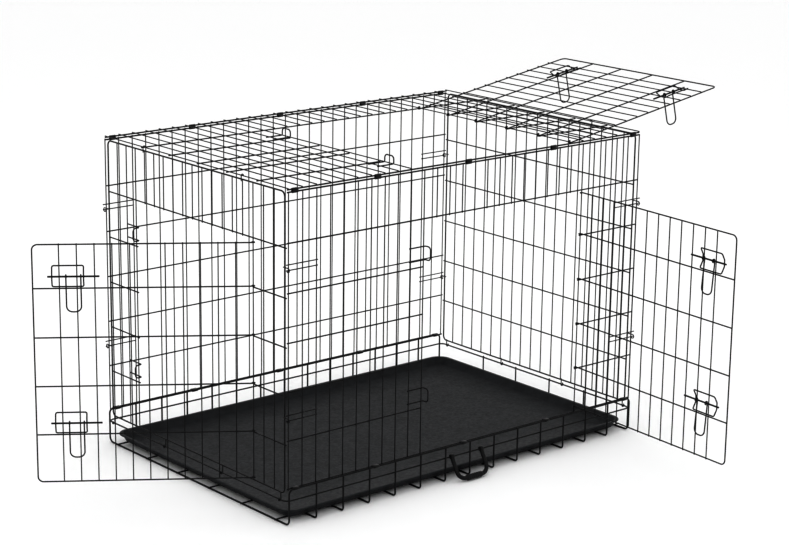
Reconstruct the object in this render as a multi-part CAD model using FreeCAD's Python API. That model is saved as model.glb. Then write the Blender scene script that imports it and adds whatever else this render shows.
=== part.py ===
"""Folding wire dog crate, 42 x 28 x 30 in, with three doors open.

Frame: millimetres, X along the long sides, Y across, Z up.  The origin lies under the
centre of the crate on the surface it stands on.  The front is the long side at -Y, which
holds the side door.  The left end is the short side at -X, which holds the end door.

Every panel is a mesh of straight wires.  Bars are the thin, closely spaced wires, and rows
are the thicker ones across them.  Crossing wires are welded: they sink WELD into each other.
"""
import FreeCAD, Part
import math
import os

V = FreeCAD.Vector

# ---- overall layout -------------------------------------------------------------------
PITCH = 38.1              # spacing of the bars on every panel (1.5 in)
LONG_GAPS = 28            # bar gaps along a long side
END_GAPS = 18             # bar gaps along a short end
SIDE_PLANE_EXTRA = 12.7   # from the end panel's outer wire out to the side panel's bars
ROW_PITCH = 111.125       # spacing of the rows on the upright panels
PANEL_ROWS = 6            # row gaps on the upright panels
HINGE_HEIGHT = 85.0       # side panels fold about this height
END_PANEL_FOOT = 72.25    # bottom wire of the end panels
END_TOP_GAP = 8.5         # top wire of the end panels, below the top panel's bars

# ---- wires ----------------------------------------------------------------------------
BAR_R = 1.25              # bars, hooks and loops
ROW_R = 1.5               # rows, door frames, keepers and guides
EDGE_R = 1.75             # panel edges, rim rail and length wires
FLOOR_R = 2.0             # floor cross wires and the perimeter wire
WELD = 0.15               # how far two welded wires sink into each other
STUB = 0.5                # how far a wire end stands past the wire it is welded to
RUN_GAP = 0.3             # clearance between a loop and the wire it turns on

# ---- floor and rim --------------------------------------------------------------------
RAIL_HEIGHT = 57.5        # rim rail, which the end panels hook to
RAIL_CORNER = 15.0
FLOOR_BEND = 7.0          # inside the bend where a cross wire turns up
PERIMETER_BEND = 12.0
CROSS_EVERY = 2           # a floor cross wire at every second bar position
LENGTH_WIRE_PITCH = 127.0
LENGTH_WIRES = 6
LENGTH_WIRE_STUB = 9.0    # past the end floor wire
POST_BEND = 6.0
POST_RISE = 2.5           # post tops above the rail's axis

# ---- top panel ------------------------------------------------------------------------
TOP_GAP = 2.35            # between the side panel's top row and the top panel's edge row
TOP_STRIP = 155.6         # strip beside the top opening, along the back edge

# ---- doors ----------------------------------------------------------------------------
SIDE_DOOR_HINGE = 23      # bar that the side door turns on, and the bar it closes on
SIDE_DOOR_JAMB = 10
END_DOOR_HINGE = 3
END_DOOR_JAMB = 15
TOP_DOOR_HINGE = 22
TOP_DOOR_JAMB = 9
DOOR_OVERLAP = 19.05      # door edge past the jamb bar
DOOR_CORNER = 12.0
ROW_SHIFT = 4.0           # door rows beside the panel rows, so that their loops clear
SIDE_DOOR_TOP_GAP = 6.6   # from the panel row above down to the door's top wire
SIDE_DOOR_FOOT_GAP = 15.0
END_DOOR_TOP_GAP = 9.0
END_DOOR_FOOT_GAP = 5.75
TOP_DOOR_NEAR_GAP = 6.15
LOOP_TURN = 260.0         # degrees that a hinge loop wraps round its bar
SIDE_DOOR_OPEN = 86.3     # degrees open as it stands
END_DOOR_OPEN = 55.4

# ---- latches --------------------------------------------------------------------------
BOLT_R = 2.0
BOLT_N = 7.5              # bolt axis outside the plane of the hinge bar
BOLT_LENGTH = 112.0
BOLT_TIP_BACK = 32.0      # bolt tip behind the door's edge when drawn back
GUIDE_BACK = 76.0         # centre of the guide behind the door's edge
GUIDE_LENGTH = 68.0
GUIDE_HEIGHT = 47.0
GUIDE_FLAT = 16.0         # flat crown of each arch
GUIDE_BEND = 4.0
ARCH_GAP = 0.4            # between an arch and the bolt
GRIP_WIDTH = 32.0
GRIP_LENGTH = 80.0
GRIP_BACK = 12.0          # middle of the grip behind the middle of the guide, drawn back
GRIP_BEND = 13.0
GRIP_EYE_TURN = 280.0
LATCH_ABOVE_ROW = 27.5    # bolt above a door row, on the upright doors
TOP_LATCH_BESIDE_ROW = 27.5
KEEPER_HEIGHT = 31.4
KEEPER_INSET = 7.95       # keeper stands this far inside the jamb bar
KEEPER_STAND = 15.0
KEEPER_BEND = 4.0
KEEPER_END_BEND = 8.0

# ---- hooks and clips ------------------------------------------------------------------
TOP_HOOK_BARS = (4, 14)
TOP_HOOK_SHANK = 4.0
LOOP_BARS = (6, 12)       # end panel hinge loops beside these bars, and at the corners
CORNER_LOOP_INSET = 10.0
LOOP_SHANK = 2.0          # above the bottom wire, below a closed door
SLOT_UPPER = 595.0        # upper wire of each slot pair
SLOT_LOWER = 257.0
SLOT_STEP = 12.5
SLOT_GAPS = 2             # bar gaps that a slot pair spans
SLOT_OVERHANG = 8.0
CORNER_HOOK_R = 4.5
CLIP_POSITIONS = (0.5, 6.5, 13.5, 20.5, 27.5)
CLIP_LENGTH = 16.0
CLIP_WALL = 0.9

# ---- carry handle ---------------------------------------------------------------------
HANDLE_X = -8.0           # middle of the handle along the front
HANDLE_WIDTH = 92.0
HANDLE_REACH = 57.0
HANDLE_TILT = 30.0        # leans outward with its bar on the ground
HANDLE_LEG_R = 5.0
HANDLE_BAR_R = 7.0
HANDLE_BAR_LENGTH = 52.0
HANDLE_BEND = 20.0
EAR_R = 6.0
EAR_WIDTH = 9.0

# ---- tray -----------------------------------------------------------------------------
TRAY_END_GAP = 3.4        # lip to the middle of the end floor wire
TRAY_SIDE_GAP = 6.6       # lip to the middle of the side panel's bars
TRAY_SEAT_GAP = 0.3
TRAY_HEIGHT = 20.0
TRAY_SKIN = 2.5
TRAY_LIP = 6.0
TRAY_SLOPE = 10.0
TRAY_CORNER = 30.0

# ---- places that follow from the sizes above ------------------------------------------
HALF_LENGTH = PITCH * LONG_GAPS / 2
END_HALF_WIDTH = PITCH * END_GAPS / 2
HALF_WIDTH = END_HALF_WIDTH + SIDE_PLANE_EXTRA
ROW_INSET = BAR_R + ROW_R - WELD            # rows lie inside the bars
EDGE_INSET = BAR_R + EDGE_R - WELD
SIDE_TOP = HINGE_HEIGHT + PANEL_ROWS * ROW_PITCH
TOP_EDGE_Z = SIDE_TOP + 2 * EDGE_R + TOP_GAP
TOP_BAR_Z = TOP_EDGE_Z + EDGE_INSET
END_TOP = TOP_BAR_Z - END_TOP_GAP
RIM_Y = HALF_WIDTH + BAR_R + RUN_GAP + FLOOR_R
RAIL_Y = RIM_Y - FLOOR_R - EDGE_R + WELD
END_BAR_X = -HALF_LENGTH + EDGE_R - BAR_R          # so that the rows meet bars and frame
END_HOOK_X = HALF_LENGTH + EDGE_R + BAR_R - WELD   # hooks lie outside the end panel's frame
LOOP_R = EDGE_R + RUN_GAP + BAR_R
RAIL_X = END_HOOK_X + LOOP_R
DOOR_N = BAR_R + RUN_GAP + ROW_R            # door rows outside the hinge bar's axis
DOOR_BAR_N = DOOR_N - ROW_INSET
TOP_DOOR_REST = DOOR_N + BAR_R + ROW_R + RUN_GAP   # lies back on the panel's next bar
TOP_DOOR_OPEN = 180 - math.degrees(math.asin(TOP_DOOR_REST / PITCH))
EYE_R = BOLT_R + RUN_GAP + ROW_R
ARCH_N = BOLT_N + BOLT_R + ARCH_GAP + ROW_R
GUIDE_N = DOOR_BAR_N + BAR_R + ROW_R - WELD


def bar_x(index):
    """X of a bar of the long panels."""
    return PITCH * index - HALF_LENGTH


def bar_y(index):
    """Y of a bar of the end panels."""
    return PITCH * index - END_HALF_WIDTH


def row_z(index, foot=HINGE_HEIGHT):
    """Height of a row of an upright panel."""
    return foot + ROW_PITCH * index


# ---- wire work ------------------------------------------------------------------------
def rod(start, end, radius):
    """A straight wire."""
    return Part.makeCylinder(radius, (end - start).Length, start, end - start)


def bent_path(points, bend, closed=False):
    """Edges of a route of straight runs, with an arc of radius bend at each corner.

    bend is one radius, or one for each point."""
    count = len(points)
    bends = bend if isinstance(bend, (list, tuple)) else [bend] * count
    stops = []
    for i, point in enumerate(points):
        if not closed and i in (0, count - 1):
            stops.append((point, point, None))
            continue
        back = (points[i - 1] - point).normalize()
        ahead = (points[(i + 1) % count] - point).normalize()
        half = math.acos(max(-1.0, min(1.0, back.dot(ahead)))) / 2
        reach = bends[i] / math.tan(half)
        inward = (back + ahead).normalize()
        middle = point + inward * (bends[i] / math.sin(half) - bends[i])
        stops.append((point + back * reach, point + ahead * reach, middle))
    edges = []
    for i, (arrive, leave, middle) in enumerate(stops):
        if middle is not None:
            edges.append(Part.Arc(arrive, middle, leave).toShape())
        following = stops[(i + 1) % count][0]
        if (closed or i < count - 1) and (following - leave).Length > 1e-6:
            edges.append(Part.LineSegment(leave, following).toShape())
    return edges


def arc_edge(centre, along, up, radius, first, last):
    """An arc about centre, from first to last degrees, measured from along towards up."""
    def at(degrees):
        turn = math.radians(degrees)
        return centre + along * (radius * math.cos(turn)) + up * (radius * math.sin(turn))
    return Part.Arc(at(first), at((first + last) / 2), at(last)).toShape()


def wire(edges, radius):
    """A round wire along edges that follow each other."""
    route = Part.Wire(edges)
    first = edges[0]
    start = first.valueAt(first.FirstParameter)
    profile = Part.Wire([Part.makeCircle(radius, start, first.tangentAt(first.FirstParameter))])
    return route.makePipeShell([profile], True, True).Solids[0]


def save(name, solids):
    """Write one node."""
    shape = solids[0] if len(solids) == 1 else Part.makeCompound(solids)
    shape.exportStep("parts/" + name + ".step")


def placed(solids, placement):
    """Copies of the solids, moved."""
    moved = []
    for solid in solids:
        copy = solid.copy()
        copy.Placement = placement.multiply(copy.Placement)
        moved.append(copy)
    return moved


def turned_round(solids):
    """Copies turned half a turn about the crate's upright axis."""
    return placed(solids, FreeCAD.Placement(V(0, 0, 0), FreeCAD.Rotation(V(0, 0, 1), 180)))


# ---- floor ----------------------------------------------------------------------------
def floor_perimeter_wire():
    """One closed wire: top of the rim along both sides, posts and end floor wires."""
    corners = []
    for side in (-1, 1):
        corners.append(V(-side * HALF_LENGTH, side * RIM_Y, FLOOR_R))
        corners.append(V(-side * HALF_LENGTH, side * RIM_Y, HINGE_HEIGHT))
        corners.append(V(side * HALF_LENGTH, side * RIM_Y, HINGE_HEIGHT))
        corners.append(V(side * HALF_LENGTH, side * RIM_Y, FLOOR_R))
    order = [2, 3, 4, 5, 6, 7, 0, 1]
    loop = [corners[i] for i in order]
    return [wire(bent_path(loop, PERIMETER_BEND, closed=True), FLOOR_R)]


def floor_cross_wires():
    """Wires under the tray, turned up at both sides to the top of the rim."""
    top = HINGE_HEIGHT - 2 * FLOOR_R + WELD
    wires = []
    for index in range(CROSS_EVERY, LONG_GAPS, CROSS_EVERY):
        x = bar_x(index)
        route = [
            V(x, -RIM_Y, top + FLOOR_R),
            V(x, -RIM_Y, FLOOR_R),
            V(x, RIM_Y, FLOOR_R),
            V(x, RIM_Y, top + FLOOR_R),
        ]
        wires.append(wire(bent_path(route, FLOOR_BEND), FLOOR_R))
    return wires


def floor_length_wires():
    """Wires along the floor.  The inner four turn up as posts at the right end."""
    z = 2 * FLOOR_R + EDGE_R - WELD
    post_x = RAIL_X + 2 * EDGE_R - WELD
    wires = []
    for i in range(LENGTH_WIRES):
        y = LENGTH_WIRE_PITCH * (i - (LENGTH_WIRES - 1) / 2)
        left = V(-HALF_LENGTH - LENGTH_WIRE_STUB, y, z)
        if i in (0, LENGTH_WIRES - 1):
            wires.append(rod(left, V(HALF_LENGTH + LENGTH_WIRE_STUB, y, z), EDGE_R))
            continue
        route = [left, V(post_x, y, z), V(post_x, y, RAIL_HEIGHT + POST_RISE)]
        wires.append(wire(bent_path(route, POST_BEND), EDGE_R))
    return wires


def rim_rail():
    """Closed rail round the crate, inside the rim's risers, which the end panels hook to."""
    loop = [
        V(0, -RAIL_Y, RAIL_HEIGHT),
        V(RAIL_X, -RAIL_Y, RAIL_HEIGHT),
        V(RAIL_X, RAIL_Y, RAIL_HEIGHT),
        V(-RAIL_X, RAIL_Y, RAIL_HEIGHT),
        V(-RAIL_X, -RAIL_Y, RAIL_HEIGHT),
    ]
    edges = bent_path(loop + [loop[0]], RAIL_CORNER)
    return [wire(edges, EDGE_R)]


# ---- long sides -----------------------------------------------------------------------
def side_panel(side, opening=None):
    """Bars and rows of a long side.  side is -1 for the front and 1 for the back.

    opening is the first and last bar of a doorway, which runs from the bottom row to the
    row below the top."""
    y_bar = side * HALF_WIDTH
    y_row = side * (HALF_WIDTH - ROW_INSET)
    y_edge = side * (HALF_WIDTH - EDGE_INSET)
    low = HINGE_HEIGHT - EDGE_R - STUB
    high = SIDE_TOP + EDGE_R + STUB
    end = HALF_LENGTH + BAR_R + STUB
    wires = []
    for index in range(LONG_GAPS + 1):
        x = bar_x(index)
        cut = opening and opening[0] < index < opening[1]
        foot = row_z(PANEL_ROWS - 1) - ROW_R - STUB if cut else low
        wires.append(rod(V(x, y_bar, foot), V(x, y_bar, high), BAR_R))
    for z in (HINGE_HEIGHT, SIDE_TOP):
        wires.append(rod(V(-end, y_edge, z), V(end, y_edge, z), EDGE_R))
    for row in range(1, PANEL_ROWS):
        z = row_z(row)
        spans = [(-end, end)]
        if opening and row < PANEL_ROWS - 1:
            past = BAR_R + STUB
            spans = [(-end, bar_x(opening[0]) + past), (bar_x(opening[1]) - past, end)]
        for start, stop in spans:
            wires.append(rod(V(start, y_row, z), V(stop, y_row, z), ROW_R))
    return wires


def slot_wires(side):
    """Pairs of short wires at both ends of a long side, which take the end panels' hooks."""
    y = side * (HALF_WIDTH + 2 * BAR_R - WELD)
    wires = []
    for end in (-1, 1):
        outer = end * (HALF_LENGTH + SLOT_OVERHANG)
        inner = end * (HALF_LENGTH - SLOT_GAPS * PITCH - BAR_R - STUB)
        for upper in (SLOT_UPPER, SLOT_LOWER):
            for z in (upper, upper - SLOT_STEP):
                wires.append(rod(V(outer, y, z), V(inner, y, z), BAR_R))
    return wires


# ---- short ends -----------------------------------------------------------------------
def end_frame():
    """Closed wire round the left end's bars."""
    x = -HALF_LENGTH
    frame = [
        V(x, 0, END_PANEL_FOOT),
        V(x, END_HALF_WIDTH, END_PANEL_FOOT),
        V(x, END_HALF_WIDTH, END_TOP),
        V(x, -END_HALF_WIDTH, END_TOP),
        V(x, -END_HALF_WIDTH, END_PANEL_FOOT),
    ]
    return [wire(bent_path(frame + [frame[0]], DOOR_CORNER), EDGE_R)]


def end_panel(opening=None):
    """Bars and rows of the left end.  opening is the doorway's first and last bar."""
    x = END_BAR_X
    x_row = END_BAR_X + ROW_INSET
    wires = []
    low = END_PANEL_FOOT + EDGE_R - WELD
    high = END_TOP - EDGE_R + WELD
    for index in range(1, END_GAPS):
        y = bar_y(index)
        cut = opening and opening[0] < index < opening[1]
        foot = row_z(PANEL_ROWS - 1, END_PANEL_FOOT) - ROW_R - STUB if cut else low
        wires.append(rod(V(x, y, foot), V(x, y, high), BAR_R))
    end = END_HALF_WIDTH + EDGE_R + STUB
    for row in range(1, PANEL_ROWS):
        z = row_z(row, END_PANEL_FOOT)
        spans = [(-end, end)]
        if opening and row < PANEL_ROWS - 1:
            past = BAR_R + STUB
            spans = [(-end, bar_y(opening[0]) + past), (bar_y(opening[1]) - past, end)]
        for start, stop in spans:
            wires.append(rod(V(x_row, start, z), V(x_row, stop, z), ROW_R))
    return wires


def end_hinge_loops():
    """Wires down from the left end's frame, curled round the rim rail."""
    places = [bar_y(index) for index in LOOP_BARS]
    corner = END_HALF_WIDTH - CORNER_LOOP_INSET
    wires = []
    for y in [-corner] + places + [corner]:
        top = V(-END_HOOK_X, y, END_PANEL_FOOT + LOOP_SHANK)
        bottom = V(-END_HOOK_X, y, RAIL_HEIGHT)
        curl = arc_edge(V(-RAIL_X, y, RAIL_HEIGHT), V(1, 0, 0), V(0, 0, 1), LOOP_R, 0, -LOOP_TURN)
        wires.append(wire([Part.LineSegment(top, bottom).toShape(), curl], BAR_R))
    return wires


def end_top_hooks():
    """Hooks up from the left end's frame, over the end bar of the top panel."""
    radius = END_HOOK_X - HALF_LENGTH
    wires = []
    for index in TOP_HOOK_BARS:
        y = bar_y(index)
        foot = V(-END_HOOK_X, y, END_TOP - TOP_HOOK_SHANK)
        shoulder = V(-END_HOOK_X, y, TOP_BAR_Z)
        over = arc_edge(V(-HALF_LENGTH, y, TOP_BAR_Z), V(1, 0, 0), V(0, 0, 1), radius, 180, 0)
        tip = V(-HALF_LENGTH + radius, y, TOP_BAR_Z)
        drop = Part.LineSegment(tip, tip - V(0, 0, BAR_R)).toShape()
        wires.append(wire([Part.LineSegment(foot, shoulder).toShape(), over, drop], BAR_R))
    return wires


def end_corner_hooks():
    """Hooks out from the left end's frame, round the lower wire of each slot pair."""
    slot_y = HALF_WIDTH + 2 * BAR_R - WELD
    wires = []
    for side in (-1, 1):
        for upper in (SLOT_UPPER, SLOT_LOWER):
            z = upper - SLOT_STEP
            root = V(-END_HOOK_X, side * (END_HALF_WIDTH - EDGE_R - STUB), z + CORNER_HOOK_R)
            crown = V(-END_HOOK_X, side * slot_y, z + CORNER_HOOK_R)
            centre = V(-END_HOOK_X, side * slot_y, z)
            curl = arc_edge(centre, V(0, side, 0), V(0, 0, 1), CORNER_HOOK_R, 90, 90 - LOOP_TURN)
            wires.append(wire([Part.LineSegment(root, crown).toShape(), curl], BAR_R))
    return wires


# ---- top ------------------------------------------------------------------------------
def top_row_places():
    """Y of the top panel's inner rows, from the strip beside the opening to the front."""
    strip = HALF_WIDTH - TOP_STRIP
    return [strip - ROW_PITCH * i for i in range(PANEL_ROWS - 1)]


def top_panel():
    """Bars and rows of the top, with an opening from its front edge to the back strip."""
    z_row = TOP_BAR_Z - ROW_INSET
    edge_y = HALF_WIDTH - EDGE_INSET
    rows = top_row_places()
    end = HALF_LENGTH + BAR_R + STUB
    reach = edge_y + EDGE_R + STUB
    wires = []
    for index in range(LONG_GAPS + 1):
        x = bar_x(index)
        cut = TOP_DOOR_JAMB < index < TOP_DOOR_HINGE
        start = rows[0] - ROW_R - STUB if cut else -reach
        wires.append(rod(V(x, start, TOP_BAR_Z), V(x, reach, TOP_BAR_Z), BAR_R))
    for y in (-edge_y, edge_y):
        wires.append(rod(V(-end, y, TOP_EDGE_Z), V(end, y, TOP_EDGE_Z), EDGE_R))
    wires.append(rod(V(-end, rows[0], z_row), V(end, rows[0], z_row), ROW_R))
    past = BAR_R + STUB
    for y in rows[1:]:
        wires.append(rod(V(-end, y, z_row), V(bar_x(TOP_DOOR_JAMB) + past, y, z_row), ROW_R))
        wires.append(rod(V(bar_x(TOP_DOOR_HINGE) - past, y, z_row), V(end, y, z_row), ROW_R))
    return wires


# ---- hinge clips ----------------------------------------------------------------------
def hinge_clips(first, second, first_r, second_r):
    """Steel sleeves crimped round two neighbouring wires, at places (y, z)."""
    y0, z0 = first
    y1, z1 = second
    clips = []
    start = V(0, y0, z0)
    gap = V(0, y1 - y0, z1 - z0)
    across = V(1, 0, 0).cross(gap).normalize()
    inner = max(first_r, second_r) + RUN_GAP
    for position in CLIP_POSITIONS:
        origin = start + V(bar_x(position) - CLIP_LENGTH / 2, 0, 0)
        skins = [slot_prism(origin, gap, across, radius) for radius in (inner + CLIP_WALL, inner)]
        clips.append(skins[0].cut(skins[1]))
    return clips


def slot_prism(origin, gap, across, radius):
    """A prism along X with a slot-shaped section: two half circles joined by straights."""
    along = V(gap).normalize()
    far = origin + gap
    edges = [
        Part.LineSegment(origin + across * radius, far + across * radius).toShape(),
        arc_edge(far, along, across, radius, 90, -90),
        Part.LineSegment(far - across * radius, origin - across * radius).toShape(),
        arc_edge(origin, along, across, radius, -90, -270),
    ]
    return Part.Face(Part.Wire(edges)).extrude(V(CLIP_LENGTH, 0, 0))


# ---- doors ----------------------------------------------------------------------------
# A door is drawn with its hinge bar on the Z axis, reaching along +X, its outer face to +Y.
def hinge_loop(z, first, last):
    """Loop round the hinge bar at the end of a door's wire, in either sense."""
    return arc_edge(V(0, 0, z), V(1, 0, 0), V(0, 1, 0), DOOR_N, first, last)


def door_frame(gaps, foot, head):
    """Wire round three sides of a door, with both ends looped round the hinge bar."""
    width = gaps * PITCH + DOOR_OVERLAP
    run = [V(0, DOOR_N, head), V(width, DOOR_N, head), V(width, DOOR_N, foot), V(0, DOOR_N, foot)]
    route = [hinge_loop(head, 90 + LOOP_TURN, 90)]
    route += bent_path(run, DOOR_CORNER)
    route.append(hinge_loop(foot, 90, 90 + LOOP_TURN))
    return [wire(route, ROW_R)]


def door_rows(gaps, rows):
    """Rows of a door, each with a loop round the hinge bar."""
    end = gaps * PITCH + DOOR_OVERLAP - ROW_R
    wires = []
    for z in rows:
        line = Part.LineSegment(V(0, DOOR_N, z), V(end, DOOR_N, z)).toShape()
        wires.append(wire([hinge_loop(z, 90 + LOOP_TURN, 90), line], ROW_R))
    return wires


def door_bars(gaps, foot, head):
    """Bars on the inside of a door's rows."""
    low, high = foot - ROW_R, head + ROW_R
    places = [k * PITCH for k in range(1, gaps)]
    return [rod(V(x, DOOR_BAR_N, low), V(x, DOOR_BAR_N, high), BAR_R) for x in places]


def latch_guide(gaps, height):
    """Closed wire on the door's outer bars, with two arches that the bolt slides under."""
    middle = gaps * PITCH + DOOR_OVERLAP - GUIDE_BACK
    half = GUIDE_LENGTH / 2
    rise = GUIDE_HEIGHT / 2
    flat = GUIDE_FLAT / 2
    loop = [V(middle, GUIDE_N, height + rise)]
    for side in (1, -1):
        x = middle + side * half
        loop.append(V(x, GUIDE_N, height + side * rise))
        loop.append(V(x, ARCH_N, height + side * flat))
        loop.append(V(x, ARCH_N, height - side * flat))
        loop.append(V(x, GUIDE_N, height - side * rise))
    loop.append(loop[0])
    return wire(bent_path(loop, GUIDE_BEND), ROW_R)


def latch_bolt(gaps, height):
    """Straight bolt, drawn back."""
    tip = gaps * PITCH + DOOR_OVERLAP - BOLT_TIP_BACK
    bolt = rod(V(tip - BOLT_LENGTH, BOLT_N, height), V(tip, BOLT_N, height), BOLT_R)
    return bolt.makeFillet(BOLT_R * 0.4, [e for e in bolt.Edges if e.Closed])


def latch_grip(gaps, height):
    """U-shaped wire grip that hangs from the bolt by an eye at each end."""
    middle = gaps * PITCH + DOOR_OVERLAP - GUIDE_BACK - GRIP_BACK
    x0 = middle - GRIP_WIDTH / 2
    x1 = middle + GRIP_WIDTH / 2
    y = BOLT_N + EYE_R
    low = height - GRIP_LENGTH
    eyes = [V(x, BOLT_N, height) for x in (x0, x1)]
    out, up = V(0, 1, 0), V(0, 0, 1)
    edges = [arc_edge(eyes[0], out, up, EYE_R, GRIP_EYE_TURN, 0)]
    edges += bent_path([V(x0, y, height), V(x0, y, low), V(x1, y, low), V(x1, y, height)], GRIP_BEND)
    edges.append(arc_edge(eyes[1], out, up, EYE_R, 0, GRIP_EYE_TURN))
    return wire(edges, ROW_R)


def keeper(gaps, height):
    """U-shaped wire on the inside of the two jamb bars, bent out to take the bolt."""
    stand = gaps * PITCH - KEEPER_INSET
    root = (gaps + 1) * PITCH + BAR_R + STUB
    rise = KEEPER_HEIGHT / 2
    inside = -ROW_INSET
    route = [
        V(root, inside, height + rise),
        V(stand, inside, height + rise),
        V(stand, KEEPER_STAND, height + rise),
        V(stand, KEEPER_STAND, height - rise),
        V(stand, inside, height - rise),
        V(root, inside, height - rise),
    ]
    bends = [0, KEEPER_BEND, KEEPER_END_BEND, KEEPER_END_BEND, KEEPER_BEND, 0]
    return wire(bent_path(route, bends), ROW_R)


def hinge_placement(origin, reach, outer, axis, degrees):
    """Puts a door's own axes (reach, outer, axis) at its hinge, opened by so many degrees."""
    columns = FreeCAD.Matrix(
        reach.x, outer.x, axis.x, origin.x,
        reach.y, outer.y, axis.y, origin.y,
        reach.z, outer.z, axis.z, origin.z,
        0, 0, 0, 1,
    )
    swing = FreeCAD.Placement(V(0, 0, 0), FreeCAD.Rotation(V(0, 0, 1), degrees))
    return FreeCAD.Placement(columns).multiply(swing)


def grip_hang(grip, height, face_down):
    """Degrees to swing a grip about its bolt, so that it hangs from it at rest."""
    centre = grip.CenterOfMass
    below_axis = math.degrees(math.atan2(height - centre.z, centre.y - BOLT_N))
    return below_axis if face_down else below_axis - 90


def write_door(name, gaps, foot, head, rows, latches, hinge, open_degrees, face_down=False):
    """All nodes of one door, and its keepers on the panel.  latches holds (label, height)."""
    closed = hinge_placement(*hinge, 0)
    opened = hinge_placement(*hinge, open_degrees)
    save(name + "_frame", placed(door_frame(gaps, foot, head), opened))
    save(name + "_rows", placed(door_rows(gaps, rows), opened))
    save(name + "_bars", placed(door_bars(gaps, foot, head), opened))
    heights = [height for _, height in latches]
    guides = [latch_guide(gaps, height) for height in heights]
    save(name + "_latch_guides", placed(guides, opened))
    save(name + "_keepers", placed([keeper(gaps, height) for height in heights], closed))
    for label, height in latches:
        save(f"{name}_{label}_bolt", placed([latch_bolt(gaps, height)], opened))
        grip = latch_grip(gaps, height)
        grip.rotate(V(0, BOLT_N, height), V(1, 0, 0), grip_hang(grip, height, face_down))
        save(f"{name}_{label}_grip", placed([grip], opened))


# ---- carry handle ---------------------------------------------------------------------
def carry_handle():
    """Moulded U handle with an ear round the rim rail at each end, leaning on the ground."""
    half = HANDLE_WIDTH / 2
    pivot = V(HANDLE_X, -RAIL_Y, RAIL_HEIGHT)
    low = pivot - V(0, 0, HANDLE_REACH)
    route = [
        pivot - V(half, 0, 0),
        low - V(half, 0, 0),
        low + V(half, 0, 0),
        pivot + V(half, 0, 0),
    ]
    body = wire(bent_path(route, HANDLE_BEND), HANDLE_LEG_R)
    bar = rod(low - V(HANDLE_BAR_LENGTH / 2, 0, 0), low + V(HANDLE_BAR_LENGTH / 2, 0, 0), HANDLE_BAR_R)
    bar = bar.makeFillet(HANDLE_BAR_R - HANDLE_LEG_R, [e for e in bar.Edges if e.Closed])
    body = body.fuse(bar)
    for side in (-1, 1):
        middle = pivot + V(side * half, 0, 0)
        start, stop = middle - V(EAR_WIDTH / 2, 0, 0), middle + V(EAR_WIDTH / 2, 0, 0)
        body = body.fuse(rod(start, stop, EAR_R))
    for side in (-1, 1):
        middle = pivot + V(side * half, 0, 0)
        start, stop = middle - V(EAR_WIDTH, 0, 0), middle + V(EAR_WIDTH, 0, 0)
        body = body.cut(rod(start, stop, EDGE_R + RUN_GAP))
    body.rotate(pivot, V(1, 0, 0), -HANDLE_TILT)
    return [body]


# ---- tray -----------------------------------------------------------------------------
def rounded_rectangle(half_x, half_y, radius, z):
    """Closed outline of a rectangle with round corners."""
    corners = [
        V(0, -half_y, z),
        V(half_x, -half_y, z),
        V(half_x, half_y, z),
        V(-half_x, half_y, z),
        V(-half_x, -half_y, z),
    ]
    return Part.Wire(bent_path(corners + [corners[0]], radius))


def tapered(half_x, half_y, radius, z0, z1, spread):
    """Solid between two rounded rectangles, spread wider on all sides at the top."""
    low = rounded_rectangle(half_x, half_y, radius, z0)
    high = rounded_rectangle(half_x + spread, half_y + spread, radius + spread, z1)
    return Part.makeLoft([low, high], True, True)


def tray():
    """Shallow plastic pan with sloped walls and a flat lip all round."""
    lip_x = HALF_LENGTH - TRAY_END_GAP
    lip_y = HALF_WIDTH - TRAY_SIDE_GAP
    z0 = 2 * FLOOR_R + 2 * EDGE_R - WELD + TRAY_SEAT_GAP
    z1 = z0 + TRAY_HEIGHT
    foot_x = lip_x - TRAY_LIP - TRAY_SLOPE
    foot_y = lip_y - TRAY_LIP - TRAY_SLOPE
    foot_r = TRAY_CORNER - TRAY_SLOPE
    pan = tapered(foot_x, foot_y, foot_r, z0, z1, TRAY_SLOPE)
    lip = Part.Face(rounded_rectangle(lip_x, lip_y, TRAY_CORNER + TRAY_LIP, z1 - TRAY_SKIN))
    pan = pan.fuse(lip.extrude(V(0, 0, TRAY_SKIN)))
    rise = TRAY_HEIGHT - TRAY_SKIN
    spread = TRAY_SLOPE * (rise + 1) / TRAY_HEIGHT
    shift = TRAY_SLOPE * TRAY_SKIN / TRAY_HEIGHT - TRAY_SKIN
    pocket = tapered(foot_x + shift, foot_y + shift, foot_r + shift, z0 + TRAY_SKIN, z1 + 1, spread)
    return [pan.cut(pocket)]


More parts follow.
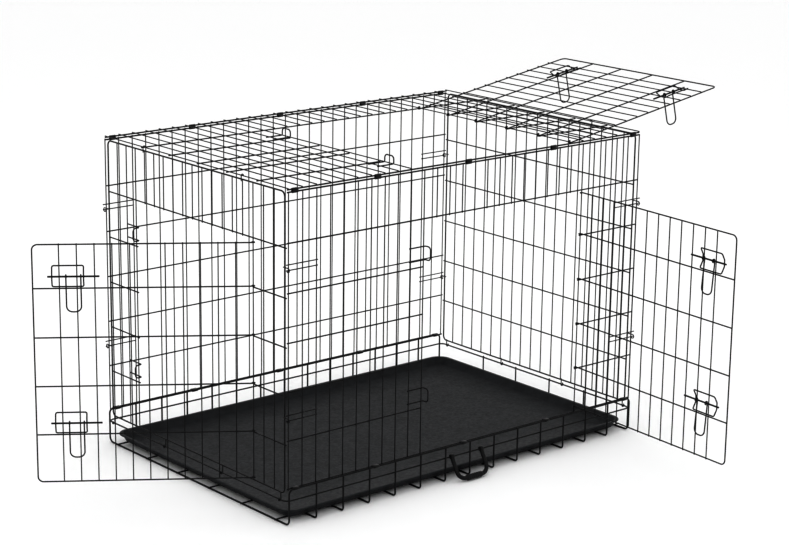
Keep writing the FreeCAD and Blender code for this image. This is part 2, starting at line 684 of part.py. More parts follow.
# ---- the crate ------------------------------------------------------------------------
def main():
    os.makedirs("parts", exist_ok=True)

    save("floor_perimeter_wire", floor_perimeter_wire())
    save("floor_cross_wires", floor_cross_wires())
    save("floor_length_wires", floor_length_wires())
    save("rim_rail", rim_rail())

    save("front_panel", side_panel(-1, (SIDE_DOOR_JAMB, SIDE_DOOR_HINGE)))
    save("back_panel", side_panel(1))
    save("front_slot_wires", slot_wires(-1))
    save("back_slot_wires", slot_wires(1))
    save("top_panel", top_panel())

    ends = (("left_end", lambda solids: solids), ("right_end", turned_round))
    for name, put in ends:
        opening = (END_DOOR_HINGE, END_DOOR_JAMB) if name == "left_end" else None
        save(name + "_frame", put(end_frame()))
        save(name + "_mesh", put(end_panel(opening)))
        save(name + "_hinge_loops", put(end_hinge_loops()))
        save(name + "_top_hooks", put(end_top_hooks()))
        save(name + "_corner_hooks", put(end_corner_hooks()))

    edge_y = HALF_WIDTH - EDGE_INSET
    for side, name in ((-1, "front"), (1, "back")):
        low = (side * edge_y, HINGE_HEIGHT), (side * RIM_Y, HINGE_HEIGHT)
        high = (side * edge_y, SIDE_TOP), (side * edge_y, TOP_EDGE_Z)
        save(name + "_bottom_hinge_clips", hinge_clips(*low, EDGE_R, FLOOR_R))
        save(name + "_top_hinge_clips", hinge_clips(*high, EDGE_R, EDGE_R))

    side_rows = [row_z(i) + ROW_SHIFT for i in range(1, PANEL_ROWS - 1)]
    write_door(
        "side_door",
        SIDE_DOOR_HINGE - SIDE_DOOR_JAMB,
        HINGE_HEIGHT + SIDE_DOOR_FOOT_GAP,
        row_z(PANEL_ROWS - 1) - SIDE_DOOR_TOP_GAP,
        side_rows,
        [("lower", side_rows[0] + LATCH_ABOVE_ROW), ("upper", side_rows[-1] + LATCH_ABOVE_ROW)],
        (V(bar_x(SIDE_DOOR_HINGE), -HALF_WIDTH, 0), V(-1, 0, 0), V(0, -1, 0), V(0, 0, 1)),
        SIDE_DOOR_OPEN,
    )
    end_rows = [row_z(i, END_PANEL_FOOT) + ROW_SHIFT for i in range(1, PANEL_ROWS - 1)]
    write_door(
        "end_door",
        END_DOOR_JAMB - END_DOOR_HINGE,
        END_PANEL_FOOT + END_DOOR_FOOT_GAP,
        row_z(PANEL_ROWS - 1, END_PANEL_FOOT) - END_DOOR_TOP_GAP,
        end_rows,
        [("lower", end_rows[0] + LATCH_ABOVE_ROW), ("upper", end_rows[-1] + LATCH_ABOVE_ROW)],
        (V(END_BAR_X, bar_y(END_DOOR_HINGE), 0), V(0, 1, 0), V(-1, 0, 0), V(0, 0, 1)),
        END_DOOR_OPEN,
    )
    panel_rows = top_row_places()
    top_rows = [panel_rows[1] - ROW_SHIFT] + [y + ROW_SHIFT for y in panel_rows[2:]]
    front = -(HALF_WIDTH - EDGE_INSET) + TOP_DOOR_NEAR_GAP
    write_door(
        "top_door",
        TOP_DOOR_HINGE - TOP_DOOR_JAMB,
        front,
        panel_rows[0] - ROW_SHIFT,
        top_rows,
        [
            ("front", top_rows[-1] - TOP_LATCH_BESIDE_ROW),
            ("back", top_rows[0] + TOP_LATCH_BESIDE_ROW),
        ],
        (V(bar_x(TOP_DOOR_HINGE), 0, TOP_BAR_Z), V(-1, 0, 0), V(0, 0, 1), V(0, 1, 0)),
        TOP_DOOR_OPEN,
        face_down=True,
    )

    save("carry_handle", carry_handle())
    save("tray", tray())


main()
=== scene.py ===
"""Folding wire dog crate: smooth coated wires, plastic tray and handle, and a plain studio.

Every length is in metres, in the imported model's frame.  Crate is the whole object, and each
sub-assembly is a class that works out its own wires and dresses them.
"""

import logging
import math
from dataclasses import dataclass, field
from enum import Enum

import bpy
import numpy as np
from mathutils import Matrix, Vector

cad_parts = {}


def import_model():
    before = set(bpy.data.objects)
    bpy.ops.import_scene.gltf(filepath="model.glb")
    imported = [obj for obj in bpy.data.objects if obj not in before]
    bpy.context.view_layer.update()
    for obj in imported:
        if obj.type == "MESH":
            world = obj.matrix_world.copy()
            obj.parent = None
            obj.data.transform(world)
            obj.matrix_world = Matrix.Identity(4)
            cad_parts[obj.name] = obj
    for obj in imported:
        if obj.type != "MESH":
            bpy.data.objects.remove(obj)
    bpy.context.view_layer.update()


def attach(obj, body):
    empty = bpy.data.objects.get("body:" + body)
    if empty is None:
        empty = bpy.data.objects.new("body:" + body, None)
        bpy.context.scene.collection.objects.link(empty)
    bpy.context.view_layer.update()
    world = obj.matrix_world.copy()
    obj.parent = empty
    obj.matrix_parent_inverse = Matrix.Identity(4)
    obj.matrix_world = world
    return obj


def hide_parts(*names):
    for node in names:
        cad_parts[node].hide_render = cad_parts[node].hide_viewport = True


LOG = logging.getLogger("crate")
Array = np.ndarray
UP = np.array([0.0, 0.0, 1.0])
RUN_STEP = 0.04         # longest piece of a straight run
ARC_STEP = 11           # degrees between the points of an arc
DOME_DEPTH = 0.35       # length of a wire's rounded end, as a share of its radius
DOME_SINES = (0.0, 0.45, 0.85)
DOME_RADII = (0.55, 0.85, 0.97)
BEAD = 1.05             # weld bead, as a share of a bar's radius
FLOOR_BEAD = 0.85       # weld bead, as a share of a floor wire's radius


# ---- shapes ---------------------------------------------------------------------------
class WireSides(Enum):
    """Number of flat sides round a wire."""

    BAR = 10
    WIRE = 14
    THICK = 20


def unit(v: Array) -> Array:
    """Vectors scaled to length 1, along the last axis."""
    return v / np.linalg.norm(v, axis=-1, keepdims=True)


def vec(*xyz: float) -> Array:
    """A point or direction."""
    return np.array(xyz, float)


@dataclass
class Skin:
    """Growing set of vertices and faces that becomes one mesh."""

    verts: list[Array] = field(default_factory=list)
    faces: list[Array] = field(default_factory=list)
    count: int = 0

    def add(self, verts: Array, faces: Array) -> None:
        """Add a patch.

        Args:
            verts: (n, 3) points.
            faces: (m, 4) indices into verts; a repeated last index makes a triangle.
        """
        self.verts.append(verts)
        self.faces.append(faces + self.count)
        self.count += len(verts)

    def object(self, name: str) -> bpy.types.Object:
        """Make the Blender object, with smooth shading.

        Args:
            name: Name of the object and its mesh.

        Returns:
            The linked object, at the origin.
        """
        verts = np.concatenate(self.verts)
        quads = np.concatenate(self.faces)
        three = quads[:, 2] == quads[:, 3]
        loops = np.concatenate([quads[~three].ravel(), quads[three][:, :3].ravel()])
        sizes = np.concatenate([np.full((~three).sum(), 4), np.full(three.sum(), 3)])
        starts = np.concatenate([[0], np.cumsum(sizes)[:-1]])
        mesh = bpy.data.meshes.new(name)
        mesh.vertices.add(len(verts))
        mesh.vertices.foreach_set("co", verts.astype(np.float32).ravel())
        mesh.loops.add(len(loops))
        mesh.loops.foreach_set("vertex_index", loops.astype(np.int32))
        mesh.polygons.add(len(sizes))
        mesh.polygons.foreach_set("loop_start", starts.astype(np.int32))
        mesh.polygons.foreach_set("use_smooth", np.ones(len(sizes), bool))
        mesh.update(calc_edges=True)
        mesh.validate()
        obj = bpy.data.objects.new(name, mesh)
        bpy.context.scene.collection.objects.link(obj)
        return obj


def grid_faces(rings: int, sides: int, closed: bool) -> Array:
    """Quads between successive rings of points.

    Args:
        rings: Number of rings.
        sides: Points in each ring.
        closed: Whether the last ring joins the first.

    Returns:
        (m, 4) vertex indices, wound so that faces point outwards.
    """
    i, j = np.meshgrid(np.arange(rings if closed else rings - 1), np.arange(sides), indexing="ij")
    k, n = (i + 1) % rings, (j + 1) % sides
    quads = np.stack([i * sides + j, i * sides + n, k * sides + n, k * sides + j], -1)
    return quads.reshape(-1, 4)


def cap_faces(rings: int, sides: int) -> Array:
    """Triangles that close an open grid at both ends.

    Args:
        rings: Number of rings.
        sides: Points in each ring.

    Returns:
        (2 * sides, 4) indices.  The two middle points follow the grid's own, first end first.
    """
    j = np.arange(sides)
    n, last = (j + 1) % sides, (rings - 1) * sides
    first_tip = np.full(sides, rings * sides)
    low = np.stack([n, j, first_tip, first_tip], -1)
    high = np.stack([j + last, n + last, first_tip + 1, first_tip + 1], -1)
    return np.concatenate([low, high])


def tube(skin: Skin, path: Array, radius: float, sides: int, closed: bool = False) -> None:
    """Carry a circle along a path: point = path + radius * (cos a * side + sin a * up).

    The side vectors turn as little as possible from ring to ring, and any twist left over on
    a closed path is spread along it.  An open end is domed by three shrinking rings.

    Args:
        skin: Where the patch goes.
        path: (n, 3) centre line.
        radius: Radius of the wire.
        sides: Points round the wire.
        closed: Whether the path is a loop, without a repeated end point.
    """
    ahead = np.roll(path, -1, 0) - path
    behind = path - np.roll(path, 1, 0)
    tangent = unit(unit(ahead) + unit(behind))
    if not closed:
        tangent[0], tangent[-1] = unit(ahead[0]), unit(behind[-1])
    side = np.zeros_like(path)
    seed = np.eye(3)[np.argmin(np.abs(tangent[0]))]
    side[0] = unit(np.cross(tangent[0], seed))
    for i in range(1, len(path)):  # each frame depends on the one before
        side[i] = unit(side[i - 1] - tangent[i] * side[i - 1].dot(tangent[i]))
    if closed:
        last = unit(side[-1] - tangent[0] * side[-1].dot(tangent[0]))
        twist = math.atan2(np.cross(side[0], last).dot(tangent[0]), side[0].dot(last))
        turn = -twist * np.arange(len(path))[:, None] / len(path)
        side = side * np.cos(turn) + np.cross(tangent, side) * np.sin(turn)
    other = np.cross(tangent, side)
    scale = np.full(len(path), radius)
    if not closed:
        dome = radius * DOME_DEPTH
        sines = np.array(DOME_SINES)
        grow = radius * np.array(DOME_RADII)
        first = path[0] + tangent[0] * dome * sines[:, None]
        final = path[-1] - tangent[-1] * dome * sines[::-1, None]
        path = np.concatenate([first, path[1:-1], final])
        tangents = [np.repeat(tangent[:1], 3, 0), tangent[1:-1], np.repeat(tangent[-1:], 3, 0)]
        tangent = np.concatenate(tangents)
        side = np.concatenate([np.repeat(side[:1], 3, 0), side[1:-1], np.repeat(side[-1:], 3, 0)])
        other = np.cross(tangent, side)
        scale = np.concatenate([grow, scale[1:-1], grow[::-1]])
        scale[2], scale[-3] = radius, radius
    angle = np.linspace(0, 2 * math.pi, sides, endpoint=False)
    cosine, sine = np.cos(angle)[None, :, None], np.sin(angle)[None, :, None]
    ring = side[:, None] * cosine + other[:, None] * sine
    points = path[:, None] + ring * scale[:, None, None]
    verts = points.reshape(-1, 3)
    faces = grid_faces(len(path), sides, closed)
    if not closed:
        verts = np.concatenate([verts, path[:1], path[-1:]])
        faces = np.concatenate([faces, cap_faces(len(path), sides)])
    skin.add(verts, faces)


def rod(skin: Skin, start: Array, stop: Array, radius: float, sides: int) -> None:
    """A straight wire, cut into lengths of about 40 mm so that shading stays even.

    Args:
        skin: Where the patch goes.
        start: One end of its axis.
        stop: The other end.
        radius: Radius of the wire.
        sides: Points round it.
    """
    steps = max(4, int(np.linalg.norm(stop - start) / RUN_STEP))
    tube(skin, start + (stop - start) * np.linspace(0, 1, steps)[:, None], radius, sides)


def arc(centre: Array, along: Array, up: Array, radius: float, first: float, last: float) -> Array:
    """Points centre + radius * (cos a * along + sin a * up), a from first to last degrees.

    Args:
        centre: Middle of the circle.
        along: Unit direction at 0 degrees.
        up: Unit direction at 90 degrees.
        radius: Radius of the circle.
        first: Starting angle.
        last: Final angle.

    Returns:
        (n, 3) points.
    """
    steps = max(4, int(abs(last - first) / ARC_STEP))
    a = np.radians(np.linspace(first, last, steps))[:, None]
    return centre + along * radius * np.cos(a) + up * radius * np.sin(a)


def bent(points: list[Array], bend: float | list[float], closed: bool = False) -> Array:
    """Route of straight runs with an arc at each corner, tangent to both runs.

    The arc's centre lies on the corner's bisector, bend / sin(half the corner) from it.

    Args:
        points: Corners of the route.
        bend: Radius of every arc, or one for each point.
        closed: Whether the route is a loop.

    Returns:
        (n, 3) points along the route, without a repeated end point.
    """
    count = len(points)
    bends = bend if isinstance(bend, list) else [bend] * count
    out: list[Array] = []
    for i, corner in enumerate(points):
        if bends[i] == 0 or (not closed and i in (0, count - 1)):
            out.append(corner[None])
            continue
        back, ahead = unit(points[i - 1] - corner), unit(points[(i + 1) % count] - corner)
        half = math.acos(np.clip(back.dot(ahead), -1, 1)) / 2
        inward = unit(back + ahead)
        centre = corner + inward * (bends[i] / math.sin(half))
        start = corner + back * (bends[i] / math.tan(half)) - centre
        turn = 180 - 2 * math.degrees(half)
        out.append(arc(centre, unit(start), -back, bends[i], 0, turn))
    filled: list[Array] = []
    for i, run in enumerate(out):  # straight runs get points every 40 mm or so
        filled.append(run)
        if not closed and i == count - 1:
            break
        start, stop = run[-1], out[(i + 1) % count][0]
        steps = int(np.linalg.norm(stop - start) / RUN_STEP)
        if steps > 1:
            filled.append(start + (stop - start) * (np.arange(1, steps) / steps)[:, None])
    return np.concatenate(filled)


def welds(skin: Skin, places: Array, radius: float) -> None:
    """Small beads where two wires are welded: octahedral spheres.

    Args:
        skin: Where the beads go.
        places: (n, 3) centres.
        radius: Radius of a bead.
    """
    axis = np.concatenate([np.eye(3), -np.eye(3)])
    corner = unit(np.array([[x, y, z] for x in (1, -1) for y in (1, -1) for z in (1, -1)], float))
    ball = np.concatenate([axis, corner]) * radius
    faces = []
    for c, (x, y, z) in enumerate((x, y, z) for x in (0, 3) for y in (1, 4) for z in (2, 5)):
        sign = (-1) ** ((x > 0) + (y > 1) + (z > 2))
        ring = (x, y, z) if sign > 0 else (x, z, y)
        faces += [(ring[k], ring[(k + 1) % 3], 6 + c, 6 + c) for k in range(3)]
    tri = np.array(faces)
    verts = (places[:, None] + ball[None]).reshape(-1, 3)
    skin.add(verts, (tri[None] + (np.arange(len(places)) * len(ball))[:, None, None]).reshape(-1, 4))


# ---- materials ------------------------------------------------------------------------
def new_group(name: str, inputs: dict[str, float], outputs: list[str]) -> tuple:
    """An empty shader node group.

    Args:
        name: Name of the group.
        inputs: Float inputs and their defaults.
        outputs: Names of float outputs.

    Returns:
        The group, its input node and its output node.
    """
    group = bpy.data.node_groups.new(name, "ShaderNodeTree")
    for label, value in inputs.items():
        socket = group.interface.new_socket(label, in_out="INPUT", socket_type="NodeSocketFloat")
        socket.default_value = value
    for label in outputs:
        group.interface.new_socket(label, in_out="OUTPUT", socket_type="NodeSocketFloat")
    return group, group.nodes.new("NodeGroupInput"), group.nodes.new("NodeGroupOutput")


def noise_group(name: str, detail: float) -> bpy.types.ShaderNodeTree:
    """Noise on object coordinates, stretched between Low and High.

    Args:
        name: Name of the group.
        detail: Octaves of the noise.

    Returns:
        The group, with inputs Scale, Low and High and output Value.
    """
    inputs = {"Scale": 100.0, "Low": 0.0, "High": 1.0}
    group, source, sink = new_group(name, inputs, ["Value"])
    nodes, links = group.nodes, group.links
    place = nodes.new("ShaderNodeTexCoord")
    noise = nodes.new("ShaderNodeTexNoise")
    noise.inputs["Detail"].default_value = detail
    spread = nodes.new("ShaderNodeMapRange")
    spread.inputs["From Min"].default_value = 0.3
    spread.inputs["From Max"].default_value = 0.7
    links.new(place.outputs["Object"], noise.inputs["Vector"])
    links.new(source.outputs["Scale"], noise.inputs["Scale"])
    links.new(noise.outputs["Fac"], spread.inputs["Value"])
    links.new(source.outputs["Low"], spread.inputs["To Min"])
    links.new(source.outputs["High"], spread.inputs["To Max"])
    links.new(spread.outputs["Result"], sink.inputs["Value"])
    return group


@dataclass(frozen=True)
class Finish:
    """A coloured surface with fine grain, soft mottling and uneven gloss."""

    name: str
    base: tuple[float, float, float]
    worn: tuple[float, float, float]
    gloss: tuple[float, float]
    grain_scale: float
    grain_depth: float
    coat: float
    specular: float = 0.5

    def build(
        self, fine: bpy.types.ShaderNodeTree, broad: bpy.types.ShaderNodeTree
    ) -> bpy.types.Material:
        """Make the material.

        Args:
            fine: Group for grain.
            broad: Group for dust and mottling.

        Returns:
            The material.
        """
        material = bpy.data.materials.new(self.name)
        material.use_nodes = True
        nodes, links = material.node_tree.nodes, material.node_tree.links
        shader = nodes["Principled BSDF"]
        shader.inputs["Coat Weight"].default_value = self.coat
        shader.inputs["Coat Roughness"].default_value = 0.28
        shader.inputs["Specular IOR Level"].default_value = self.specular
        mottle, gloss, grain = (nodes.new("ShaderNodeGroup") for _ in range(3))
        mottle.node_tree = gloss.node_tree = broad
        grain.node_tree = fine
        mottle.inputs["Scale"].default_value = 38.0
        gloss.inputs["Scale"].default_value = 140.0
        gloss.inputs["Low"].default_value, gloss.inputs["High"].default_value = self.gloss
        grain.inputs["Scale"].default_value = self.grain_scale
        mix = nodes.new("ShaderNodeMix")
        mix.data_type = "RGBA"
        mix.inputs["A"].default_value = (*self.base, 1)
        mix.inputs["B"].default_value = (*self.worn, 1)
        bump = nodes.new("ShaderNodeBump")
        bump.inputs["Distance"].default_value = self.grain_depth
        bump.inputs["Strength"].default_value = 0.6
        links.new(mottle.outputs["Value"], mix.inputs["Factor"])
        links.new(mix.outputs["Result"], shader.inputs["Base Color"])
        links.new(gloss.outputs["Value"], shader.inputs["Roughness"])
        links.new(grain.outputs["Value"], bump.inputs["Height"])
        links.new(bump.outputs["Normal"], shader.inputs["Normal"])
        return material


class Slot(Enum):
    """The record's material slots, each with its finish."""

    WIRE = Finish(
        "coated_wire", (0.004, 0.004, 0.0045), (0.010, 0.010, 0.011),
        (0.34, 0.48), 900, 4e-5, 0.04, 0.22,
    )
    CLIP = Finish(
        "crimped_steel", (0.006, 0.006, 0.0065), (0.014, 0.014, 0.015),
        (0.3, 0.42), 700, 4e-5, 0.06, 0.25,
    )
    TRAY = Finish(
        "tray_plastic", (0.017, 0.0182, 0.020), (0.028, 0.030, 0.033),
        (0.42, 0.58), 1400, 9e-5, 0.0, 0.25,
    )
    HANDLE = Finish(
        "handle_plastic", (0.005, 0.005, 0.0055), (0.011, 0.011, 0.012),
        (0.32, 0.46), 1100, 5e-5, 0.05, 0.25,
    )


class Dresser:
    """Builds every finish once and puts it on pieces."""

    def __init__(self) -> None:
        """Make the shared groups and the materials."""
        fine, broad = noise_group("fine_grain", 2.0), noise_group("soft_mottle", 4.0)
        self.materials = {slot: slot.value.build(fine, broad) for slot in Slot}

    def place(self, skin: Skin, name: str, body: str, slot: Slot, *nodes: str) -> None:
        """Turn a skin into a dressed piece that stands for CAD nodes.

        Args:
            skin: The shape.
            name: Name of the piece.
            body: Body that it rides on.
            slot: Its finish.
            nodes: CAD nodes that it stands for.
        """
        piece = skin.object(name)
        piece.data.materials.append(self.materials[slot])
        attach(piece, body)
        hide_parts(*nodes)
        LOG.info("%s on %s: %d faces", name, body, len(piece.data.polygons))


# ---- the crate's own sizes ------------------------------------------------------------
@dataclass(frozen=True)
class Layout:
    """Sizes that more than one sub-assembly goes by."""

    pitch: float = 0.0381
    long_gaps: int = 28
    end_gaps: int = 18
    side_extra: float = 0.0127
    row_pitch: float = 0.111125
    row_gaps: int = 6
    hinge_height: float = 0.085
    end_foot: float = 0.07225
    end_top_gap: float = 0.0085
    bar: float = 0.00125
    row: float = 0.0015
    edge: float = 0.00175
    floor: float = 0.002
    weld: float = 0.00015
    stub: float = 0.0005
    gap: float = 0.0003
    top_gap: float = 0.00235
    top_strip: float = 0.1556
    rail_height: float = 0.0575
    slots: tuple[float, ...] = (0.595, 0.257)
    slot_step: float = 0.0125
    loop_turn: float = 260.0
    side_opening: tuple[int, int] = (10, 23)
    end_opening: tuple[int, int] = (3, 15)
    top_opening: tuple[int, int] = (9, 22)

    @property
    def half_length(self) -> float:
        """From the middle to an end panel's frame."""
        return self.pitch * self.long_gaps / 2

    @property
    def end_half(self) -> float:
        """From the middle to the upright wire of an end panel's frame."""
        return self.pitch * self.end_gaps / 2

    @property
    def half_width(self) -> float:
        """From the middle to a side panel's bars."""
        return self.end_half + self.side_extra

    @property
    def row_inset(self) -> float:
        """Between the axes of a bar and a row."""
        return self.bar + self.row - self.weld

    @property
    def edge_inset(self) -> float:
        """Between the axes of a bar and an edge row."""
        return self.bar + self.edge - self.weld

    @property
    def side_top(self) -> float:
        """Height of the side panels' top row."""
        return self.hinge_height + self.row_gaps * self.row_pitch

    @property
    def end_top(self) -> float:
        """Height of the end panels' top wire."""
        return self.top_bar - self.end_top_gap

    @property
    def top_edge(self) -> float:
        """Height of the top panel's edge rows."""
        return self.side_top + 2 * self.edge + self.top_gap

    @property
    def top_bar(self) -> float:
        """Height of the top panel's bars."""
        return self.top_edge + self.edge_inset

    @property
    def rim_y(self) -> float:
        """From the middle to the risers of the floor's rim."""
        return self.half_width + self.bar + self.gap + self.floor

    @property
    def rail_y(self) -> float:
        """From the middle to the rim rail's long runs."""
        return self.rim_y - self.floor - self.edge + self.weld

    @property
    def hook_x(self) -> float:
        """From the middle to the hooks outside an end panel's frame."""
        return self.half_length + self.edge + self.bar - self.weld

    @property
    def loop(self) -> float:
        """Radius of a loop round the rim rail."""
        return self.edge + self.gap + self.bar

    @property
    def rail_x(self) -> float:
        """From the middle to the rim rail's short runs."""
        return self.hook_x + self.loop

    @property
    def end_bar_x(self) -> float:
        """Position of the left end panel's bars."""
        return -self.half_length + self.edge - self.bar

    @property
    def door_n(self) -> float:
        """From a door's hinge bar out to its rows."""
        return self.bar + self.gap + self.row

    def x(self, index: float) -> float:
        """Position of a bar of the long panels."""
        return self.pitch * index - self.half_length

    def y(self, index: float) -> float:
        """Position of a bar of the end panels."""
        return self.pitch * index - self.end_half

    def side_row(self, index: int) -> float:
        """Height of a side panel's row."""
        return self.hinge_height + self.row_pitch * index

    def end_row(self, index: int) -> float:
        """Height of an end panel's row."""
        return self.end_foot + self.row_pitch * index

    @property
    def top_rows(self) -> list[float]:
        """Positions of the top panel's inner rows."""
        strip = self.half_width - self.top_strip
        return [strip - self.row_pitch * i for i in range(self.row_gaps - 1)]


@dataclass
class Floor:
    """Floor wires, rim and rim rail."""

    size: Layout
    perimeter_bend: float = 0.012
    floor_bend: float = 0.007
    post_bend: float = 0.006
    rail_corner: float = 0.015
    cross_every: int = 2
    length_pitch: float = 0.127
    length_wires: int = 6
    stub: float = 0.009
    post_rise: float = 0.0025

    def perimeter(self) -> Skin:
        """Closed wire: top of the rim on both sides, posts, and end floor wires."""
        s, skin = self.size, Skin()
        l, w, h, r = s.half_length, s.rim_y, s.hinge_height, s.floor
        loop = [vec(l, -w, h), vec(l, -w, r), vec(l, w, r), vec(l, w, h)]
        loop += [vec(-l, w, h), vec(-l, w, r), vec(-l, -w, r), vec(-l, -w, h)]
        tube(skin, bent(loop, self.perimeter_bend, True), r, WireSides.THICK.value, True)
        return skin

    def cross_wires(self) -> Skin:
        """Wires under the tray, turned up at both sides, with their welds."""
        s, skin = self.size, Skin()
        top = s.hinge_height - s.floor + s.weld
        places = np.arange(self.cross_every, s.long_gaps, self.cross_every)
        for x in s.x(places):
            run = [vec(x, -s.rim_y, top), vec(x, -s.rim_y, s.floor)]
            run += [vec(x, s.rim_y, s.floor), vec(x, s.rim_y, top)]
            tube(skin, bent(run, self.floor_bend), s.floor, WireSides.WIRE.value)
        y = self.length_pitch * (np.arange(self.length_wires) - (self.length_wires - 1) / 2)
        grid = np.stack(np.meshgrid(s.x(places), y, [2 * s.floor]), -1).reshape(-1, 3)
        welds(skin, grid, s.floor * FLOOR_BEAD)
        rail = [[x, side * (s.rim_y - s.floor), s.rail_height] for x in s.x(places) for side in (-1, 1)]
        welds(skin, np.array(rail), s.floor * FLOOR_BEAD)
        return skin

    def length_wires_skin(self) -> Skin:
        """Wires along the floor; the inner four turn up as posts at the right end."""
        s, skin = self.size, Skin()
        z = 2 * s.floor + s.edge - s.weld
        post = s.rail_x + 2 * s.edge - s.weld
        out = s.half_length + self.stub
        for i in range(self.length_wires):
            y = self.length_pitch * (i - (self.length_wires - 1) / 2)
            if i in (0, self.length_wires - 1):
                rod(skin, vec(-out, y, z), vec(out, y, z), s.edge, WireSides.WIRE.value)
                continue
            run = [vec(-out, y, z), vec(post, y, z), vec(post, y, s.rail_height + self.post_rise)]
            tube(skin, bent(run, self.post_bend), s.edge, WireSides.WIRE.value)
        return skin

    def rail(self) -> Skin:
        """Closed rail that the end panels hook to."""
        s, skin = self.size, Skin()
        x, y, z = s.rail_x, s.rail_y, s.rail_height
        loop = [vec(x, -y, z), vec(x, y, z), vec(-x, y, z), vec(-x, -y, z)]
        tube(skin, bent(loop, self.rail_corner, True), s.edge, WireSides.WIRE.value, True)
        return skin

    def build(self, dress: Dresser) -> None:
        """Make the four pieces."""
        dress.place(self.perimeter(), "floor_perimeter", "crate", Slot.WIRE, "floor_perimeter_wire")
        dress.place(self.cross_wires(), "floor_cross", "crate", Slot.WIRE, "floor_cross_wires")
        dress.place(self.length_wires_skin(), "floor_length", "crate", Slot.WIRE, "floor_length_wires")
        dress.place(self.rail(), "rim_rail_ring", "crate", Slot.WIRE, "rim_rail")


@dataclass
class SidePanel:
    """A long side.  side is -1 for the front; opening is the doorway's two bars."""

    size: Layout
    side: int
    opening: tuple[int, int] | None = None
    slot_gaps: int = 2
    overhang: float = 0.008

    def mesh(self) -> Skin:
        """Bars, rows and welds."""
        s, skin = self.size, Skin()
        bar_y = self.side * s.half_width
        row_y = self.side * (s.half_width - s.row_inset)
        edge_y = self.side * (s.half_width - s.edge_inset)
        weld_y = self.side * (s.half_width - s.bar)
        low, high = s.hinge_height - s.edge - s.stub, s.side_top + s.edge + s.stub
        end = s.half_length + s.bar + s.stub
        beads = []
        for index in range(s.long_gaps + 1):
            x = s.x(index)
            cut = bool(self.opening) and self.opening[0] < index < self.opening[1]
            foot = s.side_row(s.row_gaps - 1) - s.row - s.stub if cut else low
            rod(skin, vec(x, bar_y, foot), vec(x, bar_y, high), s.bar, WireSides.BAR.value)
            rows = range(s.row_gaps - 1 if cut else 0, s.row_gaps + 1)
            beads += [[x, weld_y, s.side_row(row)] for row in rows]
        for z in (s.hinge_height, s.side_top):
            rod(skin, vec(-end, edge_y, z), vec(end, edge_y, z), s.edge, WireSides.WIRE.value)
        past = s.bar + s.stub
        for row in range(1, s.row_gaps):
            z = s.side_row(row)
            spans = [(-end, end)]
            if self.opening and row < s.row_gaps - 1:
                spans = [(-end, s.x(self.opening[0]) + past), (s.x(self.opening[1]) - past, end)]
            for start, stop in spans:
                rod(skin, vec(start, row_y, z), vec(stop, row_y, z), s.row, WireSides.WIRE.value)
        welds(skin, np.array(beads), s.bar * BEAD)
        return skin

    def slot_wires(self) -> Skin:
        """Pairs of short wires that take the end panels' hooks."""
        s, skin = self.size, Skin()
        y = self.side * (s.half_width + 2 * s.bar - s.weld)
        for end in (-1, 1):
            outer = end * (s.half_length + self.overhang)
            inner = end * (s.half_length - self.slot_gaps * s.pitch - s.bar - s.stub)
            for upper in s.slots:
                for z in (upper, upper - s.slot_step):
                    rod(skin, vec(outer, y, z), vec(inner, y, z), s.bar, WireSides.BAR.value)
        return skin

    def build(self, dress: Dresser) -> None:
        """Make the panel and its slot wires."""
        name = "front" if self.side < 0 else "back"
        dress.place(self.mesh(), name + "_wires", "crate", Slot.WIRE, name + "_panel")
        dress.place(self.slot_wires(), name + "_slots", "crate", Slot.WIRE, name + "_slot_wires")


